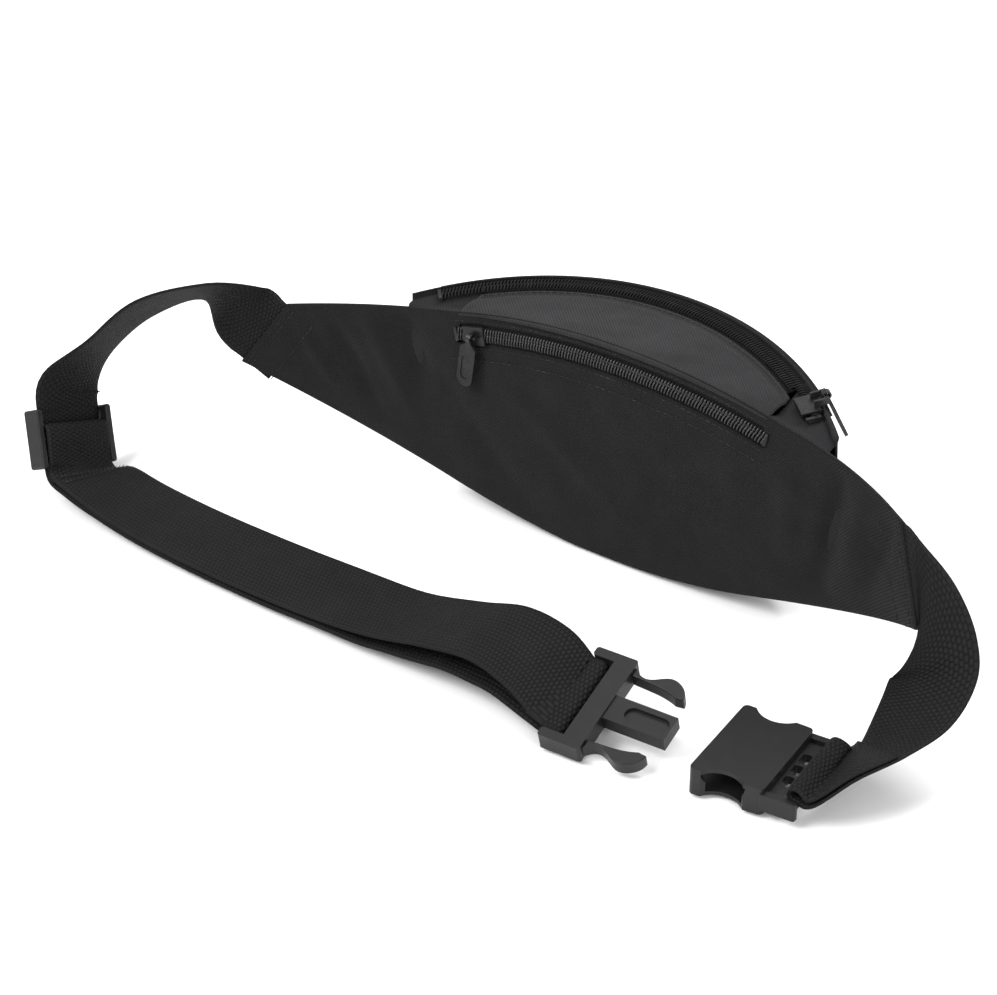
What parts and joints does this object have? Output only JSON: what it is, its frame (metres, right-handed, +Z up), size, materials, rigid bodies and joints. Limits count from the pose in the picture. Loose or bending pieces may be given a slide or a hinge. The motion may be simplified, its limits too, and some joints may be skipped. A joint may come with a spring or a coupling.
{
  "type": "waist pack",
  "caption": "Boat-shaped fabric waist pack with a zipped half-moon top flap, a zipped flat pocket in its back panel, and an adjustable webbing belt with a side-release buckle.",
  "frame": {"origin": "centre of the flat base, on the surface the pack stands on", "axes": "+X along the pack towards the female half of the buckle, +Y out through the front panel (the wearer is on the -Y side), +Z up"},
  "size_m": [0.4453, 0.1869, 0.1074],
  "materials": {
    "back_cloth": "matt woven polyester",
    "binding": "grosgrain",
    "buckle_plastic": "satin moulding",
    "flap_cloth": "matt woven polyester",
    "front_cloth": "matt woven polyester",
    "lining_cloth": "thin smooth lining",
    "pull_metal": "satin paint",
    "slider_metal": "satin paint",
    "thread": "polyester thread",
    "webbing": "coarse ribbed weave",
    "zip_coil": "nylon coil",
    "zip_stop": "painted",
    "zip_tape": "knitted tape"
  },
  "bodies": {
    "pack": {"back_panel_lower": "back_cloth", "back_panel_upper": "back_cloth", "back_pocket_lining": "lining_cloth", "back_zip_coil_lower": "zip_coil", "back_zip_coil_upper": "zip_coil", "back_zip_stops": "zip_stop", "back_zip_tape_lower": "zip_tape", "back_zip_tape_upper": "zip_tape", "bottom_gusset": "front_cloth", "front_panel": "front_cloth", "left_strap_anchor": "webbing", "left_wing_front": "front_cloth", "left_zip_end_gusset": "front_cloth", "main_zip_closed_end": "zip_coil", "main_zip_coil_front": "zip_coil", "main_zip_stops": "zip_stop", "main_zip_tape_front": "zip_tape", "right_strap_anchor": "webbing", "right_wing_front": "front_cloth", "right_zip_end_gusset": "front_cloth", "top_seam_binding": "binding"},
    "top_flap": {"top_flap": "flap_cloth", "main_zip_coil_flap": "zip_coil", "main_zip_tape_flap": "zip_tape"},
    "main_slider": {"main_zip_slider": "slider_metal"},
    "main_pull": {"main_zip_pull": "pull_metal"},
    "back_slider": {"back_zip_slider": "slider_metal"},
    "back_pull": {"back_zip_pull": "pull_metal"},
    "left_belt": {"left_strap": "webbing", "left_bar_tacks": "thread"},
    "tri_glide": {"tri_glide": "buckle_plastic"},
    "male_buckle": {"male_buckle_body": "buckle_plastic"},
    "near_latch_arm": {"latch_arm_near": "buckle_plastic"},
    "far_latch_arm": {"latch_arm_far": "buckle_plastic"},
    "right_belt": {"right_strap": "webbing"},
    "female_buckle": {"female_buckle_shell": "buckle_plastic"}
  },
  "joints": [
    {"name": "flap_lift", "type": "hinge", "parent": "pack", "child": "top_flap", "pos_m": [0.004, -0.021, 0.1], "axis": [1, 0, 0], "range_deg": [0, 65]},
    {"name": "main_zip_run", "type": "hinge", "parent": "pack", "child": "main_slider", "pos_m": [0.0033, -0.1086, 0.0688], "axis": [0, -0.2588, 0.9659], "range_deg": [0, 80]},
    {"name": "main_pull_swing", "type": "hinge", "parent": "main_slider", "child": "main_pull", "pos_m": [0.09753, -0.0032, 0.10175], "axis": [0.7604, -0.6273, -0.1681], "range_deg": [0, 120]},
    {"name": "back_zip_run", "type": "hinge", "parent": "pack", "child": "back_slider", "pos_m": [0.004, -0.022, -0.2455], "axis": [0, 1, 0], "range_deg": [0, 23.8]},
    {"name": "back_pull_swing", "type": "hinge", "parent": "back_slider", "child": "back_pull", "pos_m": [-0.0659, -0.02655, 0.08621], "axis": [-0.9785, 0, -0.2062], "range_deg": [0, 140]},
    {"name": "left_belt_swing", "type": "hinge", "parent": "pack", "child": "left_belt", "pos_m": [-0.17771, -0.03941, 0.06183], "axis": [0, 0, -1], "range_deg": [0, 25]},
    {"name": "tri_glide_slack", "type": "slide", "parent": "left_belt", "child": "tri_glide", "axis": [-0.3986, 0.299, 0.867], "range_m": [0, 0.0025]},
    {"name": "male_buckle_tilt", "type": "hinge", "parent": "left_belt", "child": "male_buckle", "pos_m": [0.07, -0.1295, 0.0114], "axis": [0.0899, -0.9497, -0.2999], "range_deg": [0, 18]},
    {"name": "near_latch_squeeze", "type": "hinge", "parent": "male_buckle", "child": "near_latch_arm", "pos_m": [0.08697, -0.14648, 0.00524], "axis": [0.0492, -0.2965, 0.9538], "range_deg": [0, 8], "stiffness_Nm_per_rad": 0.7},
    {"name": "far_latch_squeeze", "type": "hinge", "parent": "male_buckle", "child": "far_latch_arm", "pos_m": [0.08347, -0.10944, 0.01694], "axis": [-0.0492, 0.2965, -0.9538], "range_deg": [0, 8], "stiffness_Nm_per_rad": 0.7},
    {"name": "right_belt_swing", "type": "hinge", "parent": "pack", "child": "right_belt", "pos_m": [0.16803, -0.05201, 0.06779], "axis": [0, 0, 1], "range_deg": [0, 20]},
    {"name": "female_buckle_tilt", "type": "hinge", "parent": "right_belt", "child": "female_buckle", "pos_m": [0.16601, -0.11169, 0.0061], "axis": [-0.118, 0.993, 0], "range_deg": [0, 12]}
  ]
}
